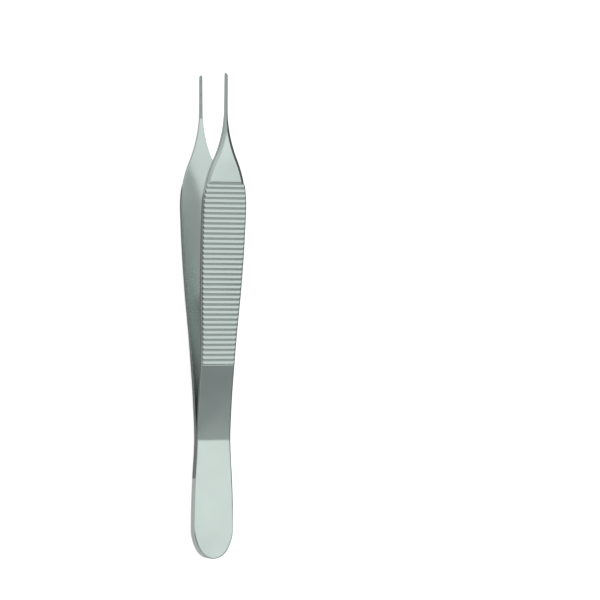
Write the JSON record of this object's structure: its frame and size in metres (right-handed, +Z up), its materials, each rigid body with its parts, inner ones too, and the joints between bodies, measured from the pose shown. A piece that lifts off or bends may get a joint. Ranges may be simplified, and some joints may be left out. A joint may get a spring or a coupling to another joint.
{
  "type": "thumb forceps",
  "caption": "Fine thumb forceps: spring arms welded at the tail, ribbed finger grips, bevelled flare and narrow jaws with transverse serrations.",
  "frame": {"origin": "middle of the underside of the box around the forceps, on the surface that they lie on", "axes": "+Y along the length from the welded tail to the jaw tips, +X across the width of the arms, +Z up from the surface, roughly the way the arms open"},
  "size_m": [0.0118, 0.1202, 0.0171],
  "materials": {
    "satin_steel": "satin"
  },
  "bodies": {
    "root": {"upper_arm": "satin_steel", "lower_arm": "satin_steel"}
  },
  "joints": []
}
